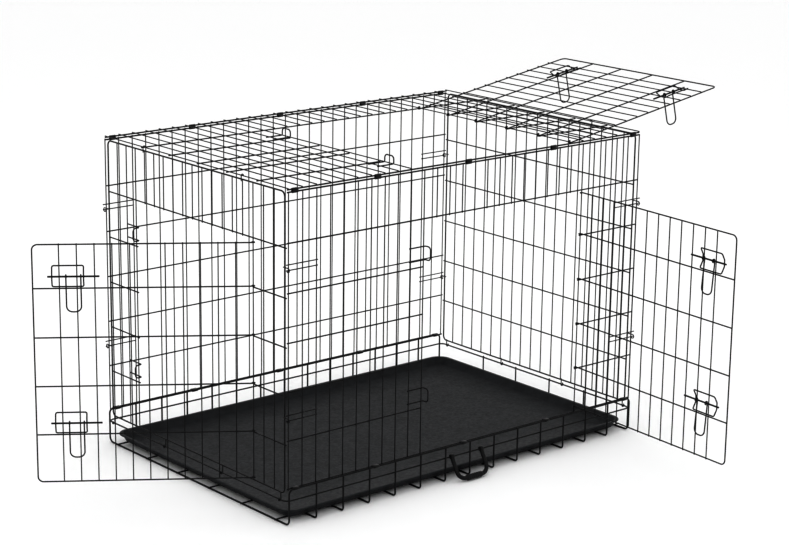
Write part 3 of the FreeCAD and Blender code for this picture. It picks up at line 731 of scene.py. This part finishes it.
@dataclass
class EndPanel:
    """A short end.  It is drawn at the left and turned round for the right."""

    size: Layout
    name: str
    opening: tuple[int, int] | None = None
    corner: float = 0.012
    hook_bars: tuple[int, ...] = (4, 14)
    hook_shank: float = 0.004
    loop_bars: tuple[int, ...] = (6, 12)
    loop_inset: float = 0.010
    loop_shank: float = 0.002
    corner_hook: float = 0.0045

    def put(self, path: Array) -> Array:
        """Turn half a turn about the upright axis for the right end."""
        return path * (vec(-1, -1, 1) if self.name == "right_end" else 1.0)

    def frame(self) -> Skin:
        """Closed wire round the panel."""
        s, skin = self.size, Skin()
        x, w, low, high = -s.half_length, s.end_half, s.end_foot, s.end_top
        loop = [vec(x, w, low), vec(x, w, high), vec(x, -w, high), vec(x, -w, low)]
        path = self.put(bent(loop, self.corner, True))
        tube(skin, path, s.edge, WireSides.WIRE.value, True)
        return skin

    def mesh(self) -> Skin:
        """Bars, rows and welds."""
        s, skin = self.size, Skin()
        x, row_x = s.end_bar_x, s.end_bar_x + s.row_inset
        weld_x = s.end_bar_x + s.bar
        low, high = s.end_foot + s.edge - s.weld, s.end_top - s.edge + s.weld
        beads = []
        for index in range(1, s.end_gaps):
            y = s.y(index)
            cut = bool(self.opening) and self.opening[0] < index < self.opening[1]
            foot = s.end_row(s.row_gaps - 1) - s.row - s.stub if cut else low
            ends = self.put(np.array([[x, y, foot], [x, y, high]]))
            rod(skin, ends[0], ends[1], s.bar, WireSides.BAR.value)
            rows = range(s.row_gaps - 1 if cut else 1, s.row_gaps)
            beads += [[weld_x, y, s.end_row(row)] for row in rows]
        end, past = s.end_half + s.edge + s.stub, s.bar + s.stub
        for row in range(1, s.row_gaps):
            z = s.end_row(row)
            spans = [(-end, end)]
            if self.opening and row < s.row_gaps - 1:
                spans = [(-end, s.y(self.opening[0]) + past), (s.y(self.opening[1]) - past, end)]
            for start, stop in spans:
                ends = self.put(np.array([[row_x, start, z], [row_x, stop, z]]))
                rod(skin, ends[0], ends[1], s.row, WireSides.WIRE.value)
        welds(skin, self.put(np.array(beads)), s.bar * BEAD)
        return skin

    def hinge_loops(self) -> Skin:
        """Wires curled round the rim rail."""
        s, skin = self.size, Skin()
        inset = s.end_half - self.loop_inset
        for y in [-inset] + [s.y(i) for i in self.loop_bars] + [inset]:
            top = vec(-s.hook_x, y, s.end_foot + self.loop_shank)
            centre = vec(-s.rail_x, y, s.rail_height)
            curl = arc(centre, vec(1, 0, 0), UP, s.loop, 0, -s.loop_turn)
            middle = (top + curl[0]) / 2
            path = self.put(np.concatenate([top[None], middle[None], curl]))
            tube(skin, path, s.bar, WireSides.BAR.value)
        return skin

    def top_hooks(self) -> Skin:
        """Hooks over the end bar of the top panel."""
        s, skin = self.size, Skin()
        radius = s.hook_x - s.half_length
        for index in self.hook_bars:
            y = s.y(index)
            foot = vec(-s.hook_x, y, s.end_top - self.hook_shank)
            centre = vec(-s.half_length, y, s.top_bar)
            over = arc(centre, vec(1, 0, 0), UP, radius, 180, 0)
            tip = over[-1] - UP * s.bar
            path = np.concatenate([foot[None], (foot + over[0])[None] / 2, over, tip[None]])
            tube(skin, self.put(path), s.bar, WireSides.BAR.value)
        return skin

    def corner_hooks(self) -> Skin:
        """Hooks round the lower wire of each slot pair."""
        s, skin = self.size, Skin()
        slot_y = s.half_width + 2 * s.bar - s.weld
        for side in (-1, 1):
            for upper in s.slots:
                z = upper - s.slot_step
                root = vec(-s.hook_x, side * (s.end_half - s.edge - s.stub), z + self.corner_hook)
                centre = vec(-s.hook_x, side * slot_y, z)
                along = vec(0, side, 0)
                curl = arc(centre, along, UP, self.corner_hook, 90, 90 - s.loop_turn)
                path = np.concatenate([root[None], (root + curl[0])[None] / 2, curl])
                tube(skin, self.put(path), s.bar, WireSides.BAR.value)
        return skin

    def build(self, dress: Dresser) -> None:
        """Make the five pieces."""
        parts = {
            "frame": self.frame(),
            "mesh": self.mesh(),
            "hinge_loops": self.hinge_loops(),
            "top_hooks": self.top_hooks(),
            "corner_hooks": self.corner_hooks(),
        }
        for part, skin in parts.items():
            node = f"{self.name}_{part}"
            dress.place(skin, node + "_wires", "crate", Slot.WIRE, node)


@dataclass
class TopPanel:
    """The top, with an opening from the front edge to the strip along the back."""

    size: Layout

    def mesh(self) -> Skin:
        """Bars, rows and welds."""
        s, skin = self.size, Skin()
        edge_y = s.half_width - s.edge_inset
        row_z = s.top_bar - s.row_inset
        weld_z = s.top_bar - s.bar
        rows = s.top_rows
        reach = edge_y + s.edge + s.stub
        end, past = s.half_length + s.bar + s.stub, s.bar + s.stub
        beads = []
        for index in range(s.long_gaps + 1):
            x = s.x(index)
            cut = s.top_opening[0] < index < s.top_opening[1]
            start = rows[0] - s.row - s.stub if cut else -reach
            rod(skin, vec(x, start, s.top_bar), vec(x, reach, s.top_bar), s.bar, WireSides.BAR.value)
            crossed = [edge_y, rows[0]] if cut else [-edge_y, edge_y, *rows]
            beads += [[x, y, weld_z] for y in crossed]
        for y in (-edge_y, edge_y):
            rod(skin, vec(-end, y, s.top_edge), vec(end, y, s.top_edge), s.edge, WireSides.WIRE.value)
        for i, y in enumerate(rows):
            spans = [(-end, s.x(s.top_opening[0]) + past), (s.x(s.top_opening[1]) - past, end)]
            for start, stop in [(-end, end)] if i == 0 else spans:
                rod(skin, vec(start, y, row_z), vec(stop, y, row_z), s.row, WireSides.WIRE.value)
        welds(skin, np.array(beads), s.bar * BEAD)
        return skin

    def build(self, dress: Dresser) -> None:
        """Make the panel."""
        dress.place(self.mesh(), "top_wires", "crate", Slot.WIRE, "top_panel")


@dataclass
class HingeClips:
    """Sleeves crimped round two neighbouring wires along one edge."""

    size: Layout
    node: str
    first: tuple[float, float]
    second: tuple[float, float]
    inner: float
    positions: tuple[float, ...] = (0.5, 6.5, 13.5, 20.5, 27.5)
    length: float = 0.016
    wall: float = 0.0009
    round: int = 10

    def build(self, dress: Dresser) -> None:
        """Wall whose section is a slot: half circles about both wires, joined by straights.

        Rings run along the outside, over the rounded lip, back along the bore and close."""
        s, skin = self.size, Skin()
        a, b = vec(0, *self.first), vec(0, *self.second)
        along = unit(b - a)
        across = unit(np.cross(vec(1, 0, 0), along))
        angle = np.linspace(-90, 90, self.round)
        turn = np.radians(np.concatenate([angle, angle + 180]))[:, None]
        centre = np.concatenate([np.repeat(b[None], self.round, 0), np.repeat(a[None], self.round, 0)])
        out = along * np.cos(turn) + across * np.sin(turn)
        h, w, lip = self.length / 2, self.wall, self.wall * 0.35
        section = [(-h + lip, w), (h - lip, w), (h, w - lip), (h, lip), (h - lip, 0.0)]
        section += [(-h + lip, 0.0), (-h, lip), (-h, w - lip)]
        for position in self.positions:
            shift = vec(s.x(position), 0, 0)
            rings = [centre + shift + vec(u, 0, 0) + out * (self.inner + t) for u, t in section]
            skin.add(np.concatenate(rings), grid_faces(len(section), 2 * self.round, True))
        dress.place(skin, self.node + "_sleeves", "crate", Slot.CLIP, self.node)


# ---- doors ----------------------------------------------------------------------------
@dataclass
class Door:
    """A door, its latches and its keepers, drawn in its own axes and put at its hinge.

    Its own axes are reach (from the hinge to the free edge), outer and axis (the hinge)."""

    size: Layout
    name: str
    gaps: int
    foot: float
    head: float
    rows: list[float]
    latches: dict[str, float]
    hinge: tuple[Array, Array, Array, Array]
    open_degrees: float
    face_down: bool = False
    overlap: float = 0.01905
    corner: float = 0.012
    bolt_r: float = 0.002
    bolt_n: float = 0.0075
    bolt_length: float = 0.112
    tip_back: float = 0.032
    guide_back: float = 0.076
    guide_length: float = 0.068
    guide_height: float = 0.047
    guide_flat: float = 0.016
    guide_bend: float = 0.004
    arch_gap: float = 0.0004
    grip_width: float = 0.032
    grip_length: float = 0.080
    grip_back: float = 0.012
    grip_bend: float = 0.013
    eye_turn: float = 280.0
    keeper_height: float = 0.0314
    keeper_inset: float = 0.00795
    keeper_stand: float = 0.015
    keeper_bend: float = 0.004
    keeper_end_bend: float = 0.008

    @property
    def edge(self) -> float:
        """From the hinge to the free edge."""
        return self.gaps * self.size.pitch + self.overlap

    @property
    def bar_n(self) -> float:
        """From the hinge bar out to the door's bars."""
        return self.size.door_n - self.size.row_inset

    def put(self, points: Array, opened: bool = True) -> Array:
        """Own axes to the crate's: origin + x * reach + y * outer + z * axis, then swung.

        Args:
            points: (n, 3) points in the door's own axes.
            opened: False leaves them as on the closed door.

        Returns:
            (n, 3) points in the crate's axes.
        """
        origin, reach, outer, axis = self.hinge
        turn = math.radians(self.open_degrees if opened else 0.0)
        swung = reach * math.cos(turn) + outer * math.sin(turn)
        faced = outer * math.cos(turn) - reach * math.sin(turn)
        return origin + points[:, :1] * swung + points[:, 1:2] * faced + points[:, 2:] * axis

    def hinge_loop(self, z: float) -> Array:
        """Loop round the hinge bar, ending on the side where the wire leaves."""
        turn = 90 + self.size.loop_turn
        return arc(vec(0, 0, z), vec(1, 0, 0), vec(0, 1, 0), self.size.door_n, turn, 90)

    def frame(self) -> Skin:
        """Wire round three sides, looped round the hinge bar at both ends."""
        skin, n = Skin(), self.size.door_n
        run = [vec(0, n, self.head), vec(self.edge, n, self.head)]
        run += [vec(self.edge, n, self.foot), vec(0, n, self.foot)]
        low = self.hinge_loop(self.foot)[::-1]
        path = np.concatenate([self.hinge_loop(self.head), bent(run, self.corner)[1:-1], low])
        tube(skin, self.put(path), self.size.row, WireSides.WIRE.value)
        return skin

    def row_wires(self) -> Skin:
        """Rows, each looped round the hinge bar."""
        skin, n = Skin(), self.size.door_n
        span = np.linspace(0, self.edge - self.size.row, 14)[1:]
        for z in self.rows:
            line = np.stack([span, np.full(13, n), np.full(13, z)], -1)
            path = np.concatenate([self.hinge_loop(z), line])
            tube(skin, self.put(path), self.size.row, WireSides.WIRE.value)
        return skin

    def bars(self) -> Skin:
        """Bars inside the rows, and their welds."""
        s, skin = self.size, Skin()
        beads = []
        for k in range(1, self.gaps):
            x = k * s.pitch
            low, high = self.foot - s.row, self.head + s.row
            ends = self.put(np.array([[x, self.bar_n, low], [x, self.bar_n, high]]))
            rod(skin, ends[0], ends[1], s.bar, WireSides.BAR.value)
            beads += [[x, self.bar_n + s.bar, z] for z in (self.foot, *self.rows, self.head)]
        welds(skin, self.put(np.array(beads)), s.bar * BEAD)
        return skin

    def guides(self) -> Skin:
        """Closed wires with two arches that the bolt slides under."""
        s, skin = self.size, Skin()
        arch = self.bolt_n + self.bolt_r + self.arch_gap + s.row
        base = self.bar_n + s.bar + s.row - s.weld
        middle = self.edge - self.guide_back
        rise, flat = self.guide_height / 2, self.guide_flat / 2
        for t in self.latches.values():
            loop = []
            for side in (1, -1):
                x = middle + side * self.guide_length / 2
                loop += [vec(x, base, t + side * rise), vec(x, arch, t + side * flat)]
                loop += [vec(x, arch, t - side * flat), vec(x, base, t - side * rise)]
            path = self.put(bent(loop, self.guide_bend, True))
            tube(skin, path, s.row, WireSides.WIRE.value, True)
        return skin

    def keepers(self) -> Skin:
        """Staples inside the jamb bars that take the bolts; they stay with the crate."""
        s, skin = self.size, Skin()
        stand = self.gaps * s.pitch - self.keeper_inset
        root = (self.gaps + 1) * s.pitch + s.bar + s.stub
        rise, out, inside = self.keeper_height / 2, self.keeper_stand, -s.row_inset
        small, large = self.keeper_bend, self.keeper_end_bend
        for t in self.latches.values():
            run = [vec(root, inside, t + rise), vec(stand, inside, t + rise), vec(stand, out, t + rise)]
            run += [vec(stand, out, t - rise), vec(stand, inside, t - rise), vec(root, inside, t - rise)]
            path = bent(run, [0.0, small, large, large, small, 0.0])
            tube(skin, self.put(path, opened=False), s.row, WireSides.WIRE.value)
        return skin

    def bolt(self, t: float) -> Skin:
        """Straight bolt with both ends rounded over.

        Args:
            t: Place of the bolt along the hinge axis.

        Returns:
            Its skin.
        """
        skin = Skin()
        tip = self.edge - self.tip_back
        span = np.linspace(tip - self.bolt_length, tip, 6)
        path = np.stack([span, np.full(6, self.bolt_n), np.full(6, t)], -1)
        tube(skin, self.put(path), self.bolt_r, WireSides.WIRE.value)
        return skin

    def grip(self, t: float) -> Skin:
        """U-shaped grip that hangs from the bolt by an eye at each end.

        It is drawn straight down from the bolt, then swung about it so that its weight hangs
        below the bolt.  The angle is that of the wire's own centre of weight.

        Args:
            t: Place of the bolt along the hinge axis.

        Returns:
            Its skin.
        """
        skin = Skin()
        eye = self.bolt_r + self.size.gap + self.size.row
        middle = self.edge - self.guide_back - self.grip_back
        ends = (middle - self.grip_width / 2, middle + self.grip_width / 2)
        y, low = self.bolt_n + eye, t - self.grip_length
        out = vec(0, 1, 0)
        first = arc(vec(ends[0], self.bolt_n, t), out, UP, eye, self.eye_turn, 0)
        last = arc(vec(ends[1], self.bolt_n, t), out, UP, eye, 0, self.eye_turn)
        run = [vec(ends[0], y, t), vec(ends[0], y, low), vec(ends[1], y, low), vec(ends[1], y, t)]
        path = np.concatenate([first[:-1], bent(run, self.grip_bend), last[1:]])
        step = np.linalg.norm(np.diff(path, axis=0), axis=1, keepdims=True)
        centre = ((path[1:] + path[:-1]) / 2 * step).sum(0) / step.sum()
        hang = math.atan2(t - centre[2], centre[1] - self.bolt_n)
        hang -= 0.0 if self.face_down else math.pi / 2
        rel = path - vec(0, self.bolt_n, t)
        swung_y = rel[:, 1] * math.cos(hang) - rel[:, 2] * math.sin(hang)
        swung_z = rel[:, 1] * math.sin(hang) + rel[:, 2] * math.cos(hang)
        path = np.stack([path[:, 0], swung_y + self.bolt_n, swung_z + t], -1)
        tube(skin, self.put(path), self.size.row, WireSides.WIRE.value)
        return skin

    def build(self, dress: Dresser) -> None:
        """Make the door, its guides, bolts and grips, and its keepers."""
        door = {"frame": self.frame(), "rows": self.row_wires(), "bars": self.bars()}
        door["latch_guides"] = self.guides()
        for part, skin in door.items():
            node = f"{self.name}_{part}"
            dress.place(skin, node + "_wires", self.name, Slot.WIRE, node)
        keepers = self.name + "_keepers"
        dress.place(self.keepers(), keepers + "_wires", "crate", Slot.WIRE, keepers)
        for label, t in self.latches.items():
            for part, skin in (("bolt", self.bolt(t)), ("grip", self.grip(t))):
                node = f"{self.name}_{label}_{part}"
                dress.place(skin, node + "_wire", node, Slot.WIRE, node)


def make_doors(size: Layout) -> list[Door]:
    """The three doors, each with its place and latches.

    The opened top door leans on the panel's next bar: sine of its lean = stand-off / pitch.

    Args:
        size: The crate's sizes.

    Returns:
        Side, end and top door.
    """
    shift, beside = 0.004, 0.0275  # door row from its panel row, and bolt from its door row
    side_open, end_open = 86.3, 55.4
    side_head_gap, side_foot_gap = 0.0066, 0.015
    end_head_gap, end_foot_gap = 0.009, 0.00575
    top_near_gap = 0.00615
    head_row = size.row_gaps - 1
    side_gaps, end_gaps, top_gaps = (
        last - first for first, last in (size.side_opening, size.end_opening, size.top_opening)
    )
    inner = range(1, size.row_gaps - 1)
    side = [size.side_row(i) + shift for i in inner]
    end = [size.end_row(i) + shift for i in inner]
    panel = size.top_rows
    top = [panel[1] - shift] + [y + shift for y in panel[2:]]
    x, y = vec(1, 0, 0), vec(0, 1, 0)
    lean = math.degrees(math.asin((size.door_n + size.bar + size.row + size.gap) / size.pitch))
    return [
        Door(
            size, "side_door", side_gaps, size.hinge_height + side_foot_gap,
            size.side_row(head_row) - side_head_gap, side,
            {"lower": side[0] + beside, "upper": side[-1] + beside},
            (vec(size.x(size.side_opening[1]), -size.half_width, 0), -x, -y, UP), side_open,
        ),
        Door(
            size, "end_door", end_gaps, size.end_foot + end_foot_gap,
            size.end_row(head_row) - end_head_gap, end,
            {"lower": end[0] + beside, "upper": end[-1] + beside},
            (vec(size.end_bar_x, size.y(size.end_opening[0]), 0), y, -x, UP), end_open,
        ),
        Door(
            size, "top_door", top_gaps, -(size.half_width - size.edge_inset) + top_near_gap,
            panel[0] - shift, top,
            {"front": top[-1] - beside, "back": top[0] + beside},
            (vec(size.x(size.top_opening[1]), 0, size.top_bar), -x, UP, y), 180 - lean,
            face_down=True,
        ),
    ]


# ---- plastics -------------------------------------------------------------------------
@dataclass
class CarryHandle:
    """Moulded handle that hangs by an ear at each end from the rim rail."""

    size: Layout
    middle: float = -0.008
    width: float = 0.092
    reach: float = 0.057
    tilt: float = 30.0
    leg: float = 0.005
    bar: float = 0.007
    bar_length: float = 0.052
    bend: float = 0.020
    ear: float = 0.006
    ear_width: float = 0.009

    def build(self, dress: Dresser) -> None:
        """Grip: radius eases from leg to bar by a smooth step, with shallow finger ribs."""
        s, skin = self.size, Skin()
        half = self.width / 2
        pivot = vec(self.middle, -s.rail_y, s.rail_height)
        drop = vec(0, -math.sin(math.radians(self.tilt)), -math.cos(math.radians(self.tilt)))
        side, low = vec(half, 0, 0), pivot + drop * self.reach
        run = bent([pivot - side, low - side, low + side, pivot + side], self.bend)
        start = s.edge + s.gap + 0.001
        keep = np.linalg.norm((run - pivot)[:, 1:], axis=1) > start
        legs = [pivot - side + drop * start, pivot + side + drop * start]
        run = np.concatenate([legs[:1], run[keep], legs[1:]])
        length = np.concatenate([[0], np.cumsum(np.linalg.norm(np.diff(run, axis=0), axis=1))])
        even = np.linspace(0, length[-1], 120)
        run = np.stack([np.interp(even, length, run[:, i]) for i in range(3)], -1)
        tube(skin, run, self.leg, WireSides.THICK.value)
        span = np.linspace(-self.bar_length / 2, self.bar_length / 2, 64)
        ease = np.clip((self.bar_length / 2 - np.abs(span)) / 0.005, 0, 1)
        swell = self.leg * 0.9 + (self.bar - self.leg * 0.9) * ease * ease * (3 - 2 * ease)
        swell -= 0.00035 * ease * (0.5 + 0.5 * np.cos(span * 2 * math.pi / 0.0065))
        self.ring(skin, low, span, swell, False, drop)
        lip, h = 0.0006, self.ear_width / 2
        inner = s.edge + s.gap
        for sign in (-1, 1):
            across = np.array([-h + lip, h - lip, h, h, h - lip, -h + lip, -h, -h])
            outer = [self.ear, self.ear, self.ear - lip]
            bore = [inner + lip, inner, inner, inner + lip]
            radii = np.array([*outer, *bore, self.ear - lip])
            self.ring(skin, pivot + side * sign, across, radii, True, drop)
        dress.place(skin, "carry_handle_grip", "carry_handle", Slot.HANDLE, "carry_handle")

    def ring(self, skin: Skin, at: Array, span: Array, radii: Array, closed: bool, drop: Array) -> None:
        """Surface of revolution about X: at + x * span + radius * (cos a * drop + sin a * side).

        Args:
            skin: Where the patch goes.
            at: Middle of the axis.
            span: Position of each ring along X.
            radii: Radius of each ring.
            closed: Whether the last ring joins the first.
            drop: Unit direction at angle 0, square to X.
        """
        sides = 28
        a = np.linspace(0, 2 * math.pi, sides, endpoint=False)[None, :, None]
        other = np.cross(vec(1, 0, 0), drop)
        ring = drop * np.cos(a) + other * np.sin(a)
        points = at + vec(1, 0, 0) * span[:, None, None] + ring * radii[:, None, None]
        verts, faces = points.reshape(-1, 3), grid_faces(len(span), sides, closed)
        if not closed:
            ends = at + vec(1, 0, 0) * span[[0, -1]][:, None]
            verts = np.concatenate([verts, ends])
            faces = np.concatenate([faces, cap_faces(len(span), sides)])
        skin.add(verts, faces)


@dataclass
class Tray:
    """Shallow plastic pan with sloped walls and a lip."""

    size: Layout
    end_gap: float = 0.0034
    side_gap: float = 0.0066
    seat: float = 0.0003
    height: float = 0.020
    skin_t: float = 0.0025
    lip: float = 0.006
    slope: float = 0.010
    corner: float = 0.030
    corner_steps: int = 12

    def outline(self, inset: float, z: float) -> Array:
        """Rectangle with round corners, inset from the lip's edge, at height z.

        Args:
            inset: Distance in from the lip's outer edge.
            z: Height.

        Returns:
            (n, 3) points round the outline.
        """
        s = self.size
        hx, hy = s.half_length - self.end_gap - inset, s.half_width - self.side_gap - inset
        r = max(self.corner + self.lip - inset, 0.004)
        a = np.radians(np.linspace(0, 90, self.corner_steps))
        signs = ((1, 1, 0), (-1, 1, 90), (-1, -1, 180), (1, -1, 270))
        rings = []
        for sx, sy, turn in signs:
            t = a + math.radians(turn)
            rings.append(np.stack([sx * (hx - r) + r * np.cos(t), sy * (hy - r) + r * np.sin(t)], -1))
        ring = np.concatenate(rings)
        return np.concatenate([ring, np.full((len(ring), 1), z)], 1)

    def build(self, dress: Dresser) -> None:
        """Wall lofted through outlines, from under the floor, out and over the lip, and in.

        Each pair of the section is the inset from the lip's edge and the height."""
        s, skin = self.size, Skin()
        z0 = 2 * s.floor + 2 * s.edge - s.weld + self.seat
        z1, t = z0 + self.height, self.skin_t
        wall = self.lip + self.slope
        e = 0.0006
        under = wall + 0.002
        section = [(0.30, z0), (0.12, z0), (under, z0), (wall, z0 + 0.001)]
        section += [(wall - self.slope * 0.5, z0 + self.height * 0.5)]
        section += [(self.lip + self.slope * t / self.height, z1 - t)]
        section += [(e, z1 - t), (0.0, z1 - t + e), (0.0, z1 - e), (e, z1)]
        section += [(self.lip + t - e, z1), (self.lip + t + e, z1 - 0.001)]
        section += [(wall - self.slope * 0.5 + t, z0 + self.height * 0.5 + t * 0.3)]
        section += [(wall + t, z0 + t + 0.002), (wall + t + 0.002, z0 + t)]
        section += [(0.12, z0 + t), (0.30, z0 + t)]
        rings = [self.outline(inset, z) for inset, z in section]
        count = len(rings[0])
        faces = grid_faces(len(rings), count, False)
        verts = np.concatenate([*rings, [[0, 0, z0], [0, 0, z0 + t]]])
        skin.add(verts, np.concatenate([faces, cap_faces(len(rings), count)]))
        dress.place(skin, "tray_pan", "tray", Slot.TRAY, "tray")


# ---- the whole crate and its studio ---------------------------------------------------
@dataclass
class Crate:
    """Every sub-assembly, in order."""

    size: Layout = field(default_factory=Layout)

    def clips(self) -> list[HingeClips]:
        """The four rows of hinge clips."""
        s, rows = self.size, []
        edge_y = s.half_width - s.edge_inset
        for side, name in ((-1, "front"), (1, "back")):
            rows.append(
                HingeClips(
                    s, name + "_bottom_hinge_clips", (side * edge_y, s.hinge_height),
                    (side * s.rim_y, s.hinge_height), s.floor + s.gap,
                )
            )
            rows.append(
                HingeClips(
                    s, name + "_top_hinge_clips", (side * edge_y, s.side_top),
                    (side * edge_y, s.top_edge), s.edge + s.gap,
                )
            )
        return rows

    def build(self, dress: Dresser) -> None:
        """Make all pieces."""
        s = self.size
        parts: list = [Floor(s), SidePanel(s, -1, s.side_opening), SidePanel(s, 1)]
        parts += [EndPanel(s, "left_end", s.end_opening), EndPanel(s, "right_end"), TopPanel(s)]
        parts += self.clips() + make_doors(s) + [CarryHandle(s), Tray(s)]
        for part in parts:
            part.build(dress)


@dataclass
class Studio:
    """Pale floor, soft lights and the camera."""

    eye: tuple[float, float, float] = (-3.2774, -3.9466, 1.7685)
    yaw: float = 0.8682
    pitch: float = -0.25731
    roll: float = 0.01391
    lens_ratio: float = 2.7722
    sides: int = 64
    drop: float = 0.0003
    target: tuple[float, float, float] = (0, 0, 0.35)
    gamma: float = 0.64
    exposure: float = 0.08

    def floor(self) -> None:
        """A broad disc just under the crate, in rings out from its middle."""
        skin = Skin()
        radii = np.array([0.3, 1.2, 3.0, 8.0, 30.0])
        a = np.linspace(0, 2 * math.pi, self.sides, endpoint=False)
        ring = np.stack([np.cos(a), np.sin(a), np.zeros(self.sides)], -1)
        rings = (radii[:, None, None] * ring).reshape(-1, 3) - vec(0, 0, self.drop)
        skin.add(rings, grid_faces(len(radii), self.sides, False)[:, ::-1])
        j = np.arange(self.sides)
        tip = np.full(self.sides, self.sides)
        middle = np.concatenate([rings[: self.sides], [[0, 0, -self.drop]]])
        skin.add(middle, np.stack([j, (j + 1) % self.sides, tip, tip], -1))
        ground = skin.object("studio_floor")
        material = bpy.data.materials.new("pale_floor")
        material.use_nodes = True
        shader = material.node_tree.nodes["Principled BSDF"]
        shader.inputs["Base Color"].default_value = (0.93, 0.93, 0.93, 1)
        shader.inputs["Roughness"].default_value = 0.75
        ground.data.materials.append(material)

    def light(self, name: str, at: Array, size: float, power: float) -> None:
        """A square soft light aimed at the crate.

        Args:
            name: Name of the lamp.
            at: Where it hangs.
            size: Side of the square.
            power: Its power in watts.
        """
        data = bpy.data.lights.new(name, "AREA")
        data.size, data.energy = size, power
        lamp = bpy.data.objects.new(name, data)
        lamp.location = at
        aim = Vector(self.target) - Vector(at)
        lamp.rotation_euler = aim.to_track_quat("-Z", "Y").to_euler()
        bpy.context.scene.collection.objects.link(lamp)

    def camera(self) -> None:
        """Camera looking down on the crate's nearer corner, with no lens shift."""
        data = bpy.data.cameras.new("camera")
        data.sensor_fit = "HORIZONTAL"
        data.sensor_width = 36.0
        data.lens = 36.0 * self.lens_ratio
        data.clip_end = 100
        camera = bpy.data.objects.new("camera", data)
        level = math.cos(self.pitch)
        ahead = Vector(
            (math.cos(self.yaw) * level, math.sin(self.yaw) * level, math.sin(self.pitch))
        )
        turn = ahead.to_track_quat("-Z", "Y").to_matrix().to_4x4() @ Matrix.Rotation(self.roll, 4, "Z")
        camera.matrix_world = Matrix.Translation(self.eye) @ turn
        bpy.context.scene.collection.objects.link(camera)
        bpy.context.scene.camera = camera

    def build(self) -> None:
        """Set up world, floor, lights and camera."""
        world = bpy.data.worlds.new("studio")
        world.use_nodes = True
        back = world.node_tree.nodes["Background"]
        back.inputs["Color"].default_value = (1, 1, 1, 1)
        back.inputs["Strength"].default_value = 1.0
        bpy.context.scene.world = world
        display = bpy.context.scene.view_settings
        display.view_transform = "Standard"
        display.gamma, display.exposure = self.gamma, self.exposure
        self.floor()
        self.light("key", vec(-2.6, -2.2, 3.4), 2.4, 16)
        self.light("fill", vec(3.2, -2.8, 2.2), 2.6, 7)
        self.light("top", vec(0.2, 0.6, 3.8), 3.0, 10)
        self.camera()


def main() -> None:
    """Build the crate and its studio."""
    logging.basicConfig(level=logging.INFO, format="%(name)s: %(message)s")
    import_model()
    Crate().build(Dresser())
    Studio().build()


if __name__ == "__main__":
    main()
